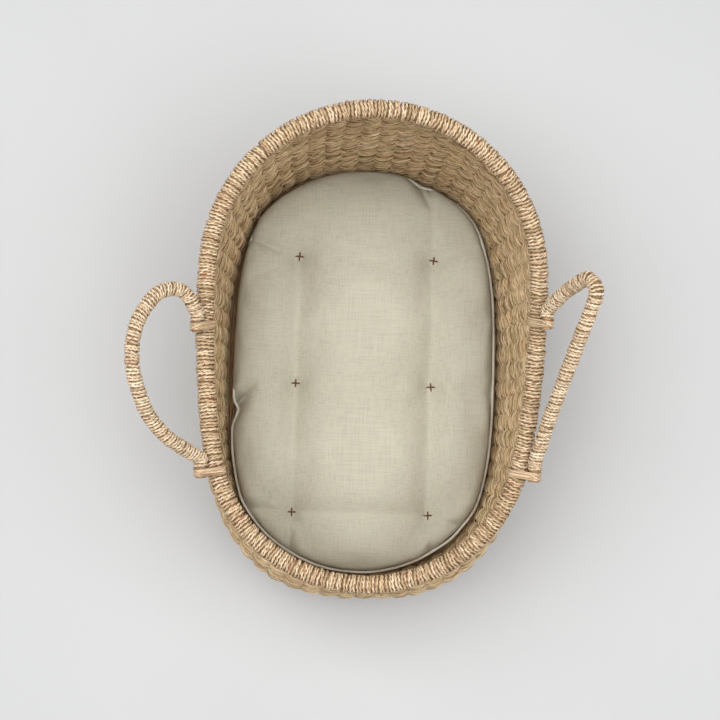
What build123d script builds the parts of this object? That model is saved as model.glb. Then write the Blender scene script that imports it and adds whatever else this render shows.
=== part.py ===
"""Moses basket: a woven oval basket with two rope handles and a tufted mattress.

The frame has its origin on the floor under the middle of the base. +Z is up, +Y points to the
head end, where the rim is higher, and +X is to the right. Lengths are millimetres.
"""
from build123d import *
from math import atan2, cos, hypot, pi, radians, sin, sqrt, tan
import os

os.makedirs("parts", exist_ok=True)

# ---- driving dimensions -------------------------------------------------------------------
RIM_HEIGHT = 275.0          # rim centreline above the floor at mid length
RIM_TILT = 10.65            # degrees that the rim plane rises towards the head
RIM_RADIUS = 12.0           # rim roll over its wrapping
RIM_CORE_RADIUS = 9.0
RIM_HEAD, RIM_FOOT = 296.0, 296.0           # half lengths in the rim plane
HEAD_RADIUS, FOOT_RADIUS = 205.0, 196.0     # end arcs of the rim
SIDE_RADIUS = 1180.0                        # side arcs of the rim

WALL_THICKNESS = 11.0       # two skins of weft with the stakes between them
SKIN_THICKNESS = 3.0
# The wall's middle surface at three levels: (level, half width, head, foot, power of the oval)
WALL_LEVELS = [
    (0.0, 191.5, 281.0, 281.0, 2.80),
    (0.5, 211.0, 299.0, 309.0, 2.70),
    (1.0, 206.5, 296.0, 296.0, 2.50),
]
OUTLINE_POINTS = 40         # formula points on each oval
ARC_STEPS = 2000            # steps used to space points evenly

STAKE_COUNT = 72
STAKE_RADIUS = 2.1
STAKE_BOTTOM, STAKE_TOP = 0.015, 0.930      # levels between which a stake runs

BASE_THICKNESS = 8.0
EDGE_ROPE = 9.0             # border of heavier twining round the foot of the wall
EDGE_ROUNDING = 3.6

PAD_WIDTH, PAD_LENGTH, PAD_POWER = 182.0, 268.0, 2.60    # half sizes of the mattress
PAD_BOTTOM, PAD_SEAM, PAD_TOP = 8.3, 33.0, 58.0
PAD_ROUNDING = 14.0
COVER_THICKNESS = 1.2
PIPING_RADIUS = 1.6
TUFT_COLUMNS, TUFT_ROWS = (-93.0, 93.0), (-202.0, -26.0, 150.0)
TUFT_THREAD_RADIUS = 0.8
TUFT_ARM, TUFT_ARM_WIDTH, TUFT_ARM_HEIGHT = 6.5, 1.6, 1.0
TUFT_LIFT = 0.1             # gap between the cover and the arms of a stitch

ROPE_RADIUS = 9.5           # handle rope over its wrapping
ROPE_CORE_RADIUS = 7.0
FOOT_ROOT, HEAD_ROOT = (14.0, 17.6), (8.5, 20.8)    # out and up from the rim centreline
STUB_RADIUS, STUB_LENGTH = 6.5, 24.0        # the turned end of the rope that the lashing holds
LASH_NEAR, LASH_FAR = 11.0, 23.0            # the lashing, measured along the stub
LASH_RIM_RADIUS, LASH_STUB_RADIUS = 15.6, 10.4
CLEARANCE = 0.3
OVERCUT = 1.0               # how far a cut runs past the face that it opens
BEND_SHARE = 0.45           # share of a run between two corners that a bend takes up

# Each handle: side, y of its head and foot roots, angle above horizontal, and its route as
# (along the hinge from the foot root, away from the hinge) between the two roots
HANDLES = {
    "left": (-1, 40.0, -134.0, 35.0,
             [(29, 46), (62, 74), (120, 93), (171, 87), (209, 55), (211, 18)]),
    "right": (1, 57.0, -128.0, 58.0,
              [(60, 20), (222, 87), (237, 68), (214, 27)]),
}


# ---- planes and outlines ------------------------------------------------------------------
def level_plane(level):
    """The plane of one level of the wall, from 0 at the floor to 1 at the rim."""
    tilt = radians(RIM_TILT * level)
    return Plane(origin=(0, 0, RIM_HEIGHT * level), x_dir=(1, 0, 0), z_dir=(0, -sin(tilt), cos(tilt)))


def oval_point(angle, half_width, head, foot, power):
    """A point of a superellipse whose two ends may differ in length."""
    c, s = cos(angle), sin(angle)
    length = head if s > 0 else foot
    x = half_width * abs(c) ** (2 / power) * (1 if c >= 0 else -1)
    y = length * abs(s) ** (2 / power) * (1 if s >= 0 else -1)
    return (x, y)


def oval_angles(count, half_width, head, foot, power):
    """Angles at which points are evenly spaced along the oval."""
    fine = ARC_STEPS
    points = [oval_point(2 * pi * k / fine, half_width, head, foot, power) for k in range(fine + 1)]
    walked = [0.0]
    for a, b in zip(points, points[1:]):
        walked.append(walked[-1] + hypot(b[0] - a[0], b[1] - a[1]))
    angles = []
    place = 0
    for k in range(count):
        while walked[place + 1] < walked[-1] * k / count:
            place += 1
        angles.append(2 * pi * place / fine)
    return angles


def oval_face(half_width, head, foot, power):
    """Draw a filled oval in the sketch that is being built."""
    angles = oval_angles(OUTLINE_POINTS, half_width, head, foot, power)
    with BuildLine() as outline:
        Spline(*[oval_point(a, half_width, head, foot, power) for a in angles], periodic=True)
    make_face(outline.edges())


def wall_loft(offset, mode=Mode.ADD):
    """The solid inside a surface that lies outside the wall's middle surface by an offset."""
    sections = []
    for level, half_width, head, foot, power in WALL_LEVELS:
        with BuildSketch(level_plane(level), mode=Mode.PRIVATE) as section:
            oval_face(half_width + offset, head + offset, foot + offset, power)
        sections.append(section.sketch)
    loft(sections=[s.face() for s in sections], mode=mode)


def rim_arcs():
    """Centre and tangent points of the rim's four arcs, in the rim plane."""
    head_y, foot_y = RIM_HEAD - HEAD_RADIUS, RIM_FOOT - FOOT_RADIUS
    spread = (HEAD_RADIUS - FOOT_RADIUS) * (2 * SIDE_RADIUS - HEAD_RADIUS - FOOT_RADIUS)
    side_y = (spread - foot_y ** 2 + head_y ** 2) / (2 * (head_y + foot_y))
    side_x = sqrt((SIDE_RADIUS - HEAD_RADIUS) ** 2 - (side_y - head_y) ** 2)
    reach_head = SIDE_RADIUS / (SIDE_RADIUS - HEAD_RADIUS)
    reach_foot = SIDE_RADIUS / (SIDE_RADIUS - FOOT_RADIUS)
    head_tangent = (-side_x + side_x * reach_head, side_y + (head_y - side_y) * reach_head)
    foot_tangent = (-side_x + side_x * reach_foot, side_y + (-foot_y - side_y) * reach_foot)
    return side_x, side_y, head_tangent, foot_tangent


def rim_place(y):
    """Point of the right half of the rim at a place along its plane, and its outward normal."""
    side_x, side_y, head_tangent, foot_tangent = rim_arcs()
    if y > head_tangent[1]:
        centre, radius = (0, RIM_HEAD - HEAD_RADIUS), HEAD_RADIUS
    elif y < foot_tangent[1]:
        centre, radius = (0, FOOT_RADIUS - RIM_FOOT), FOOT_RADIUS
    else:
        centre, radius = (-side_x, side_y), SIDE_RADIUS
    x = centre[0] + sqrt(radius ** 2 - (y - centre[1]) ** 2)
    return (x, y), ((x - centre[0]) / radius, (y - centre[1]) / radius)


def rim_path():
    """The rim's centreline, drawn in the line that is being built."""
    side_x, side_y, head_tangent, foot_tangent = rim_arcs()
    widest = SIDE_RADIUS - side_x
    left_head, left_foot = (-head_tangent[0], head_tangent[1]), (-foot_tangent[0], foot_tangent[1])
    ThreePointArc(foot_tangent, (widest, side_y), head_tangent)
    ThreePointArc(head_tangent, (0, RIM_HEAD), left_head)
    ThreePointArc(left_head, (-widest, side_y), left_foot)
    ThreePointArc(left_foot, (0, -RIM_FOOT), foot_tangent)


def rim_tube(outer, inner=0.0, mode=Mode.ADD):
    """A round tube along the whole rim."""
    with BuildLine(level_plane(1.0), mode=Mode.PRIVATE) as line:
        rim_path()
    start = line.wire() @ 0
    with BuildSketch(Plane(origin=start, z_dir=line.wire() % 0), mode=Mode.PRIVATE) as section:
        Circle(outer)
        if inner > 0:
            Circle(inner, mode=Mode.SUBTRACT)
    sweep(sections=section.sketch, path=line.wire(), mode=mode)


# ---- basket: base, wall and rim -----------------------------------------------------------
with BuildPart() as base_mat:
    with BuildSketch():
        level, half_width, head, foot, power = WALL_LEVELS[0]
        inset = WALL_THICKNESS / 2 + CLEARANCE
        oval_face(half_width - inset, head - inset, foot - inset, power)
    extrude(amount=BASE_THICKNESS)

with BuildPart() as wall_outer_weave:
    wall_loft(WALL_THICKNESS / 2)
    wall_loft(WALL_THICKNESS / 2 - SKIN_THICKNESS, mode=Mode.SUBTRACT)
    rim_tube(RIM_RADIUS + CLEARANCE, mode=Mode.SUBTRACT)

with BuildPart() as wall_inner_weave:
    wall_loft(SKIN_THICKNESS - WALL_THICKNESS / 2)
    wall_loft(-WALL_THICKNESS / 2, mode=Mode.SUBTRACT)
    rim_tube(RIM_RADIUS + CLEARANCE, mode=Mode.SUBTRACT)

with BuildPart() as warp_stakes:
    _, half_width, head, foot, power = WALL_LEVELS[1]
    for angle in oval_angles(STAKE_COUNT, half_width, head, foot, power):
        rings = []
        for level, half_width, head, foot, power in WALL_LEVELS:
            x, y = oval_point(angle, half_width, head, foot, power)
            rings.append(level_plane(level).from_local_coords(Vector(x, y, 0)))

        def on_stake(level):
            """The middle surface between its three levels."""
            a = rings[0] * (2 * (level - 0.5) * (level - 1))
            b = rings[1] * (-4 * level * (level - 1))
            return a + b + rings[2] * (2 * level * (level - 0.5))

        with BuildLine() as stake_line:
            ThreePointArc(on_stake(STAKE_BOTTOM), on_stake(0.5), on_stake(STAKE_TOP))
        with BuildSketch(Plane(origin=stake_line.wire() @ 0, z_dir=stake_line.wire() % 0)) as stake_end:
            Circle(STAKE_RADIUS)
        sweep(sections=stake_end.sketch, path=stake_line.wire())

with BuildPart() as base_edge_twining:
    level, half_width, head, foot, power = WALL_LEVELS[0]
    with BuildSketch():
        reach = WALL_THICKNESS / 2 + EDGE_ROPE
        oval_face(half_width + reach, head + reach, foot + reach, power)
    extrude(amount=EDGE_ROPE)
    fillet(base_edge_twining.edges(), EDGE_ROUNDING)
    wall_loft(WALL_THICKNESS / 2 + CLEARANCE, mode=Mode.SUBTRACT)

with BuildPart() as rim_core:
    rim_tube(RIM_CORE_RADIUS - CLEARANCE)

with BuildPart() as rim_wrap:
    rim_tube(RIM_RADIUS, RIM_CORE_RADIUS)


# ---- mattress -----------------------------------------------------------------------------
def pad_body(inset, mode=Mode.ADD):
    """The mattress's rounded outside, or a body inside it by an inset."""
    with BuildPart(mode=Mode.PRIVATE) as body:
        with BuildSketch(Plane.XY.offset(PAD_BOTTOM + inset)):
            oval_face(PAD_WIDTH - inset, PAD_LENGTH - inset, PAD_LENGTH - inset, PAD_POWER)
        extrude(amount=PAD_TOP - PAD_BOTTOM - 2 * inset)
        fillet(body.faces().filter_by(Axis.Z).edges(), PAD_ROUNDING - inset)
    add(body.part, mode=mode)


def tuft_places():
    """The six places where stitches pass through the mattress."""
    return Locations(*[(x, y) for x in TUFT_COLUMNS for y in TUFT_ROWS])


def tuft_holes():
    """Holes for the tuft threads, through the whole mattress."""
    with BuildSketch(Plane.XY, mode=Mode.PRIVATE) as holes:
        with tuft_places():
            Circle(TUFT_THREAD_RADIUS + CLEARANCE)
    extrude(holes.sketch, amount=PAD_TOP + OVERCUT, mode=Mode.SUBTRACT)


def pad_half(keep):
    """Keep the mattress above or below its seam."""
    split(bisect_by=Plane.XY.offset(PAD_SEAM), keep=keep)


with BuildPart() as mattress_cover_top:
    pad_body(0)
    pad_body(COVER_THICKNESS, mode=Mode.SUBTRACT)
    pad_half(Keep.TOP)
    tuft_holes()

with BuildPart() as mattress_cover_bottom:
    pad_body(0)
    pad_body(COVER_THICKNESS, mode=Mode.SUBTRACT)
    pad_half(Keep.BOTTOM)
    tuft_holes()

with BuildPart() as mattress_filling:
    pad_body(COVER_THICKNESS + CLEARANCE)
    tuft_holes()

with BuildPart() as mattress_piping:
    with BuildSketch(Plane.XY.offset(PAD_SEAM - PIPING_RADIUS)):
        reach = 2 * PIPING_RADIUS
        oval_face(PAD_WIDTH + reach, PAD_LENGTH + reach, PAD_LENGTH + reach, PAD_POWER)
        gap = CLEARANCE / 2
        with BuildSketch(mode=Mode.PRIVATE) as inner:
            oval_face(PAD_WIDTH + gap, PAD_LENGTH + gap, PAD_LENGTH + gap, PAD_POWER)
        add(inner.sketch, mode=Mode.SUBTRACT)
    extrude(amount=2 * PIPING_RADIUS)

with BuildPart() as tuft_stitches:
    with BuildSketch(Plane.XY.offset(PAD_BOTTOM + 2 * TUFT_LIFT)):
        with tuft_places():
            Circle(TUFT_THREAD_RADIUS)
    extrude(amount=PAD_TOP - PAD_BOTTOM)
    with BuildSketch(Plane.XY.offset(PAD_TOP + TUFT_LIFT)):
        with tuft_places():
            Rectangle(2 * TUFT_ARM, TUFT_ARM_WIDTH)
            Rectangle(TUFT_ARM_WIDTH, 2 * TUFT_ARM)
    extrude(amount=TUFT_ARM_HEIGHT)


# ---- handles and their lashings -----------------------------------------------------------
def hinge_frame(side, head_y, foot_y):
    """The foot root, the unit vector along the hinge to the head root, and the hinge's length."""
    plane = level_plane(1.0)
    roots = []
    for y, (out, up) in ((foot_y, FOOT_ROOT), (head_y, HEAD_ROOT)):
        (x, y), (nx, ny) = rim_place(y / cos(radians(RIM_TILT)))
        local = Vector(side * (x + out * nx), y + out * ny, up)
        roots.append(plane.from_local_coords(local))
    span = roots[1] - roots[0]
    return roots[0], span.normalized(), span.length


def handle_plane(side, head_y, foot_y, angle):
    """The plane that a handle lies in at rest: x along the hinge, y away from it."""
    root, along, span = hinge_frame(side, head_y, foot_y)
    flat = Vector(side, 0, 0)
    outward = (flat - along * flat.dot(along)).normalized()
    upward = along.cross(outward) if side < 0 else outward.cross(along)
    away = outward * cos(radians(angle)) + upward * sin(radians(angle))
    return Plane(origin=root, x_dir=along, z_dir=along.cross(away)), span


def route_radii(points):
    """As large an arc at each corner as the shorter of its two runs allows."""
    radii = []
    for a, b, c in zip(points, points[1:], points[2:]):
        first, second = (b[0] - a[0], b[1] - a[1]), (c[0] - b[0], c[1] - b[1])
        turn = abs(atan2(first[0] * second[1] - first[1] * second[0],
                         first[0] * second[0] + first[1] * second[1]))
        radii.append(BEND_SHARE * min(hypot(*first), hypot(*second)) / tan(turn / 2))
    return radii


def handle_rope(plane, points, radius, stub_radius, mode=Mode.ADD):
    """A handle's rope with its round ends and the two stubs along the hinge."""
    with BuildPart(mode=Mode.PRIVATE) as rope:
        with BuildLine(plane) as line:
            FilletPolyline(*points, radius=route_radii(points))
        path = line.wire()
        with BuildSketch(Plane(origin=path @ 0, z_dir=path % 0)) as section:
            Circle(radius)
        sweep(sections=section.sketch, path=path)
        for end in (points[0], points[-1]):
            with Locations(plane.from_local_coords(Vector(*end, 0))):
                Sphere(radius)
            if stub_radius > 0:
                base = Plane(origin=plane.from_local_coords(Vector(*end, 0)), z_dir=-plane.x_dir)
                with BuildSketch(base):
                    Circle(stub_radius)
                extrude(amount=STUB_LENGTH)
    add(rope.part, mode=mode)


def lashing(side, head_y, foot_y, place, plane):
    """The band that binds one stub to the rim, with its opening for the wall."""
    middle = place - (LASH_NEAR + LASH_FAR) / 2
    centre = plane.from_local_coords(Vector(middle, 0, 0))
    section_plane = Plane(origin=centre, x_dir=(side, 0, 0), z_dir=-plane.x_dir)
    rim_y = level_plane(1.0).to_local_coords(centre).Y
    (x, y), _ = rim_place(rim_y)
    rim_centre = level_plane(1.0).from_local_coords(Vector(side * x, y, 0))
    local = section_plane.to_local_coords(rim_centre)
    half = (LASH_FAR - LASH_NEAR) / 2
    with BuildSketch(section_plane.offset(-half), mode=Mode.PRIVATE) as band_section:
        Circle(LASH_STUB_RADIUS)
        with Locations((local.X, local.Y)):
            Circle(LASH_RIM_RADIUS)
        make_hull()
    extrude(band_section.sketch, amount=2 * half)


handle_parts = {}
lashing_parts = {}
for name, (side, head_y, foot_y, angle, bends) in HANDLES.items():
    plane, span = handle_plane(side, head_y, foot_y, angle)
    points = [(0, 0)] + bends + [(span, 0)]
    print(name, "handle: hinge from", tuple(plane.origin), "along", tuple(plane.x_dir))

    with BuildPart() as handle_core:
        handle_rope(plane, points, ROPE_CORE_RADIUS - CLEARANCE, STUB_RADIUS)
    with BuildPart() as handle_wrap:
        handle_rope(plane, points, ROPE_RADIUS, 0)
        handle_rope(plane, points, ROPE_CORE_RADIUS, STUB_RADIUS + CLEARANCE, mode=Mode.SUBTRACT)
    handle_parts[f"handle_{name}_core"] = handle_core
    handle_parts[f"handle_{name}_wrap"] = handle_wrap

    for end, place in (("foot", 0.0), ("head", span)):
        with BuildPart() as band:
            lashing(side, head_y, foot_y, place, plane)
            rim_tube(RIM_RADIUS + CLEARANCE, mode=Mode.SUBTRACT)
            with BuildSketch(Plane(origin=plane.from_local_coords(Vector(place, 0, 0)),
                                   z_dir=-plane.x_dir)):
                Circle(STUB_RADIUS + CLEARANCE)
            extrude(amount=LASH_FAR + OVERCUT, mode=Mode.SUBTRACT)
            with BuildPart(mode=Mode.PRIVATE) as wall_zone:
                wall_loft(WALL_THICKNESS / 2 + CLEARANCE)
                wall_loft(-WALL_THICKNESS / 2 - CLEARANCE, mode=Mode.SUBTRACT)
            add(wall_zone.part, mode=Mode.SUBTRACT)
        lashing_parts[f"handle_{name}_lashing_{end}"] = band


# ---- export -------------------------------------------------------------------------------
nodes = {
    "base_mat": base_mat,
    "base_edge_twining": base_edge_twining,
    "warp_stakes": warp_stakes,
    "wall_outer_weave": wall_outer_weave,
    "wall_inner_weave": wall_inner_weave,
    "rim_core": rim_core,
    "rim_wrap": rim_wrap,
    "mattress_cover_top": mattress_cover_top,
    "mattress_cover_bottom": mattress_cover_bottom,
    "mattress_filling": mattress_filling,
    "mattress_piping": mattress_piping,
    "tuft_stitches": tuft_stitches,
    **handle_parts,
    **lashing_parts,
}
for name, node in nodes.items():
    node.part.label = name
    export_step(node.part, f"parts/{name}.step")
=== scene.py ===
"""The looks of the moses basket: strands of seagrass, wrapped rim and handles, a puffy linen pad.

Lengths are metres, in the frame of the CAD model: +Z up, +Y towards the head end.
"""
from math import cos, pi, radians, sin, sqrt, tan

import bpy
import numpy as np
from mathutils import Matrix, Vector


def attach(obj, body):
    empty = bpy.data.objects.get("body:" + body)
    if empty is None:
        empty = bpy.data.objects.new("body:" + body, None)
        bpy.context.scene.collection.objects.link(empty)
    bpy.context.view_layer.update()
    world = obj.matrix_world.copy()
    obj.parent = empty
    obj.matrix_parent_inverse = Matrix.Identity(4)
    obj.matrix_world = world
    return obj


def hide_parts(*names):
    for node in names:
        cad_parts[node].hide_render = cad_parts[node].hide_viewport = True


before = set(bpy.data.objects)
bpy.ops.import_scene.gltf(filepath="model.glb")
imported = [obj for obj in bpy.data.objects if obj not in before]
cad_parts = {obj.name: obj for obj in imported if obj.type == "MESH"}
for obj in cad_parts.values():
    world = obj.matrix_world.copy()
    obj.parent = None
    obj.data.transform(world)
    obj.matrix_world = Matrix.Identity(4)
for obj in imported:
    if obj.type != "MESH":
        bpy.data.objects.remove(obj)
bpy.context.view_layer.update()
MM = 0.001
UP = np.array([0, 0, 1.0])
FLOOR_GAP = 0.0003          # the lowest strands are pressed flat just above the floor
rng = np.random.default_rng(11)

# ---- sizes shared with the CAD model ---------------------
RIM_HEIGHT, RIM_TILT = 0.275, radians(10.65)
RIM_RADIUS = 0.012
RIM_HEAD, RIM_FOOT = 0.296, 0.296           # the rim's reach to the head and to the foot
HEAD_RADIUS, FOOT_RADIUS, SIDE_RADIUS = 0.205, 0.196, 1.180     # the arcs of its centreline
# An oval is its half width, its reach to the head and to the foot, and its power
WALL_LEVELS = [             # from 0 at the floor to 1 at the rim, each with its oval
    (0.0, 0.1915, 0.281, 0.281, 2.80),
    (0.5, 0.2110, 0.299, 0.309, 2.70),
    (1.0, 0.2065, 0.296, 0.296, 2.50),
]
STAKE_COUNT = 72
BASE_OVAL = (0.1855, 0.275, 0.275, 2.80)
EDGE_ROPE = 0.009
WALL_THICKNESS = 0.011
PAD_BOTTOM, PAD_SEAM, PAD_TOP = 0.0083, 0.033, 0.058
TUFTS = [(x, y) for x in (-0.093, 0.093) for y in (-0.202, -0.026, 0.150)]
ROPE_RADIUS = 0.0095
FOOT_ROOT, HEAD_ROOT = (0.0140, 0.0176), (0.0085, 0.0208)   # outwards from the rim, and above
BEND_SHARE = 0.45           # how much of the shorter run beside it a bend takes up
LASH_NEAR, LASH_FAR = 0.011, 0.023          # a lashing's ends, measured from its root
# Each handle's side, the y of its head and foot root, its angle from level, and its corners
# in millimetres along the hinge and away from it
HANDLES = {
    "left": (-1, 0.040, -0.134, 35.0,
             [(29, 46), (62, 74), (120, 93), (171, 87), (209, 55), (211, 18)]),
    "right": (1, 0.057, -0.128, 58.0, [(60, 20), (222, 87), (237, 68), (214, 27)]),
}


# ---- outlines --------------------------------------------
def oval_points(angles, half_width, head, foot, power):
    """Points of a superellipse whose two ends may differ in length."""
    c, s = np.cos(angles), np.sin(angles)
    x = half_width * np.abs(c) ** (2 / power) * np.sign(c)
    y = np.where(s > 0, head, foot) * np.abs(s) ** (2 / power) * np.sign(s)
    return np.stack([x, y], 1)


def even_angles(count, oval):
    """Angles at which points are evenly spaced along an oval."""
    fine = np.linspace(0, 2 * pi, 4001)
    points = oval_points(fine, *oval)
    walked = np.concatenate([[0], np.cumsum(np.hypot(*np.diff(points, axis=0).T))])
    return np.interp(np.arange(count) / count * walked[-1], walked, fine)


def grown(oval, reach):
    """An oval made larger all round."""
    half_width, head, foot, power = oval
    return half_width + reach, head + reach, foot + reach, power


def tilted(points, level):
    """Points of a plane at one level of the wall, moved into the row frame."""
    tilt = RIM_TILT * level
    x, y = points[:, 0], points[:, 1]
    return np.stack([x, y * cos(tilt), RIM_HEIGHT * level + y * sin(tilt)], 1)


def unit(vectors):
    """Vectors of length 1."""
    return vectors / np.maximum(np.linalg.norm(vectors, axis=-1, keepdims=True), 1e-12)


def rim_line(count):
    """Even points on the rim's centreline, their outward normals, and its plane's normal."""
    head_y, foot_y = RIM_HEAD - HEAD_RADIUS, RIM_FOOT - FOOT_RADIUS
    spread = (HEAD_RADIUS - FOOT_RADIUS) * (2 * SIDE_RADIUS - HEAD_RADIUS - FOOT_RADIUS)
    side_y = (spread - foot_y ** 2 + head_y ** 2) / (2 * (head_y + foot_y))
    side_x = sqrt((SIDE_RADIUS - HEAD_RADIUS) ** 2 - (side_y - head_y) ** 2)
    # Each arc has a centre and a radius, and runs from one angle to another
    head_angle = np.arctan2(head_y - side_y, side_x)
    foot_angle = np.arctan2(-foot_y - side_y, side_x)
    arcs = [((-side_x, side_y), SIDE_RADIUS, foot_angle, head_angle),
            ((0, head_y), HEAD_RADIUS, head_angle, pi - head_angle),
            ((side_x, side_y), SIDE_RADIUS, pi - head_angle, pi - foot_angle),
            ((0, -foot_y), FOOT_RADIUS, -pi - foot_angle, foot_angle)]
    lengths = np.array([r * (b - a) for _, r, a, b in arcs])
    starts = np.concatenate([[0], np.cumsum(lengths)])
    places = np.arange(count) / count * starts[-1]
    points, normals = np.zeros((count, 2)), np.zeros((count, 2))
    for (centre, radius, start, _), begin, end in zip(arcs, starts, starts[1:]):
        here = (places >= begin) & (places < end)
        angle = start + (places[here] - begin) / radius
        normals[here] = np.stack([np.cos(angle), np.sin(angle)], 1)
        points[here] = np.array(centre) + radius * normals[here]
    up = np.array([0, -sin(RIM_TILT), cos(RIM_TILT)])
    flat = np.stack([normals[:, 0], normals[:, 1] * cos(RIM_TILT), normals[:, 1] * sin(RIM_TILT)], 1)
    return tilted(points, 1.0), flat, up


def wall_rings(angles):
    """The wall's middle surface at its three levels, at the same angles."""
    return [tilted(oval_points(angles, *level[1:]), level[0]) for level in WALL_LEVELS]


def on_wall(rings, level):
    """Points of the wall's middle surface; level is one number or one for each point."""
    t = np.zeros(len(rings[0])) + level
    t = t[:, None]
    return (rings[0] * 2 * (t - 0.5) * (t - 1) - rings[1] * 4 * t * (t - 1)
            + rings[2] * 2 * t * (t - 0.5))


# ---- strands ---------------------------------------------
def placed(name, data):
    """A new object in the scene."""
    thing = bpy.data.objects.new(name, data)
    bpy.context.scene.collection.objects.link(thing)
    return thing


class Strands:
    """Many flattened tubes collected into one mesh, with coordinates along and across each."""

    END_WIDTH, END_GROWTH = 0.45, 0.5       # a cut end's share of the width, and its growth
    CELL_SIZE, CELL_MARGIN = (0.96, 0.9), (0.02, 0.05)      # a strand's part of its UV cell

    def __init__(self, sides=6):
        self.sides = sides
        self.verts, self.quads, self.caps = [], [], []
        self.fibre, self.tone, self.cells = [], [], []
        self.count = 0

    def add(self, line, normal, half_width, half_thick, closed=False, tone=None):
        """One strand along a line; its width lies across the normal."""
        n = len(line)
        if closed:
            tangent = unit(np.roll(line, -1, 0) - np.roll(line, 1, 0))
        else:
            tangent = unit(np.gradient(line, axis=0))
        side = unit(np.cross(tangent, normal))
        out = np.cross(side, tangent)
        around = 2 * pi * np.arange(self.sides) / self.sides
        width = np.zeros(n) + half_width
        thick = np.zeros(n) + half_thick
        if not closed:
            from_end = np.minimum(np.arange(n), np.arange(n)[::-1])
            taper = np.minimum(1, self.END_WIDTH + from_end * self.END_GROWTH)
            width, thick = width * taper, thick * taper
        c, s = np.cos(around), np.sin(around)
        ring = (line[:, None] + side[:, None] * (width[:, None] * c)[..., None]
                + out[:, None] * (thick[:, None] * s)[..., None])
        steps = np.linalg.norm(np.diff(line, axis=0), axis=1)
        along = np.concatenate([[0], np.cumsum(steps)]) + rng.uniform(0, 50)
        coordinates = np.stack(np.broadcast_arrays(along[:, None], width[:, None] * c,
                                                   thick[:, None] * s), -1)
        first = self.count
        rows = n if closed else n - 1
        i = np.arange(rows)[:, None]
        j = np.arange(self.sides)[None, :]
        i2, j2 = (i + 1) % n, (j + 1) % self.sides
        quads = np.stack([i * self.sides + j, i * self.sides + j2,
                          i2 * self.sides + j2, i2 * self.sides + j], -1).reshape(-1, 4)
        self.verts.append(ring.reshape(-1, 3))
        self.quads.append(quads[:, ::-1] + first)
        if not closed:
            self.caps.append(np.arange(self.sides) + first)
            self.caps.append((np.arange(self.sides) + (n - 1) * self.sides + first)[::-1])
        self.fibre.append(coordinates.reshape(-1, 3))
        self.tone.append(np.full(n * self.sides, rng.uniform() if tone is None else tone))
        self.cells.append((rows, n))
        self.count += n * self.sides

    def bake_layout(self):
        """UVs for the baked textures: each strand fills one cell of a grid."""
        length = np.mean([rows for rows, _ in self.cells])
        columns = max(1, int(round(sqrt(len(self.cells) * self.sides / length))))
        lines = -(-len(self.cells) // columns)
        uvs = []
        for k, (rows, _) in enumerate(self.cells):
            i = np.arange(rows)[:, None] + np.zeros((1, self.sides))
            j = np.arange(self.sides)[None, :] + np.zeros((rows, 1))
            corners = [(i, j), (i, j + 1), (i + 1, j + 1), (i + 1, j)][::-1]
            uv = np.stack([np.stack([a / rows, b / self.sides], -1) for a, b in corners], 2)
            uv = uv.reshape(-1, 2) * self.CELL_SIZE + self.CELL_MARGIN
            uvs.append((uv + (k % columns, k // columns)) / (columns, lines))
        return np.concatenate(uvs)

    def finish(self, name, material, slot, body, replaced=()):
        """Make the mesh object, and let it ride on its body."""
        verts = np.concatenate(self.verts)
        verts[:, 2] = np.maximum(verts[:, 2], FLOOR_GAP)
        quads = np.concatenate(self.quads)
        caps = self.caps
        mesh = bpy.data.meshes.new(name)
        mesh.vertices.add(len(verts))
        mesh.vertices.foreach_set("co", verts.ravel())
        loops = np.concatenate([quads.ravel()] + caps) if caps else quads.ravel()
        sizes = np.concatenate([np.full(len(quads), 4), np.full(len(caps), self.sides)])
        mesh.loops.add(len(loops))
        mesh.loops.foreach_set("vertex_index", loops.astype(np.int32))
        mesh.polygons.add(len(sizes))
        starts = np.concatenate([[0], np.cumsum(sizes)[:-1]])
        mesh.polygons.foreach_set("loop_start", starts.astype(np.int32))
        mesh.polygons.foreach_set("use_smooth", np.ones(len(sizes), bool))
        mesh.update(calc_edges=True)
        fibre = mesh.attributes.new("fibre", "FLOAT_VECTOR", "POINT")
        fibre.data.foreach_set("vector", np.concatenate(self.fibre).astype(np.float32).ravel())
        tone = mesh.attributes.new("tone", "FLOAT", "POINT")
        tone.data.foreach_set("value", np.concatenate(self.tone).astype(np.float32))
        uv = np.zeros((len(loops), 2))
        uv[:len(quads) * 4] = self.bake_layout()
        layer = mesh.uv_layers.new(name="OFBake")
        layer.data.foreach_set("uv", uv.astype(np.float32).ravel())
        mesh.materials.append(material)
        piece = placed(name, mesh)
        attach(piece, body)
        if replaced:
            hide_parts(*replaced)
        return piece


def wobble(count, knots, amount, closed=True):
    """Smooth random numbers along a line, between so many random knots."""
    values = rng.normal(0, amount, knots)
    if closed:
        values = np.append(values, values[0])
    at = np.linspace(0, len(values) - 1, count, endpoint=not closed)
    low = np.minimum(at.astype(int), len(values) - 2)
    t = at - low
    t = t * t * (3 - 2 * t)
    return values[low] * (1 - t) + values[low + 1] * t


# ---- materials -------------------------------------------
BLACK, WHITE = (0, 0, 0), (1, 1, 1)
FIBRE_STREAKS, FIBRE_PATCHES = (55, 1700, 1700), (9, 60, 60)    # along a strand and across it
THREAD_PITCH = 0.00075      # from one linen thread to the next
WAVE_RATIO = 0.314          # a wave texture's scale times its wavelength


def new_material(name):
    """A new material, its node tree and its shader."""
    material = bpy.data.materials.new(name)
    material.use_nodes = True
    tree = material.node_tree
    return material, tree, tree.nodes["Principled BSDF"]


def attribute(tree, name, output):
    """One of the strands' attributes."""
    node = tree.nodes.new("ShaderNodeAttribute")
    node.attribute_name = name
    return node.outputs[output]


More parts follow.
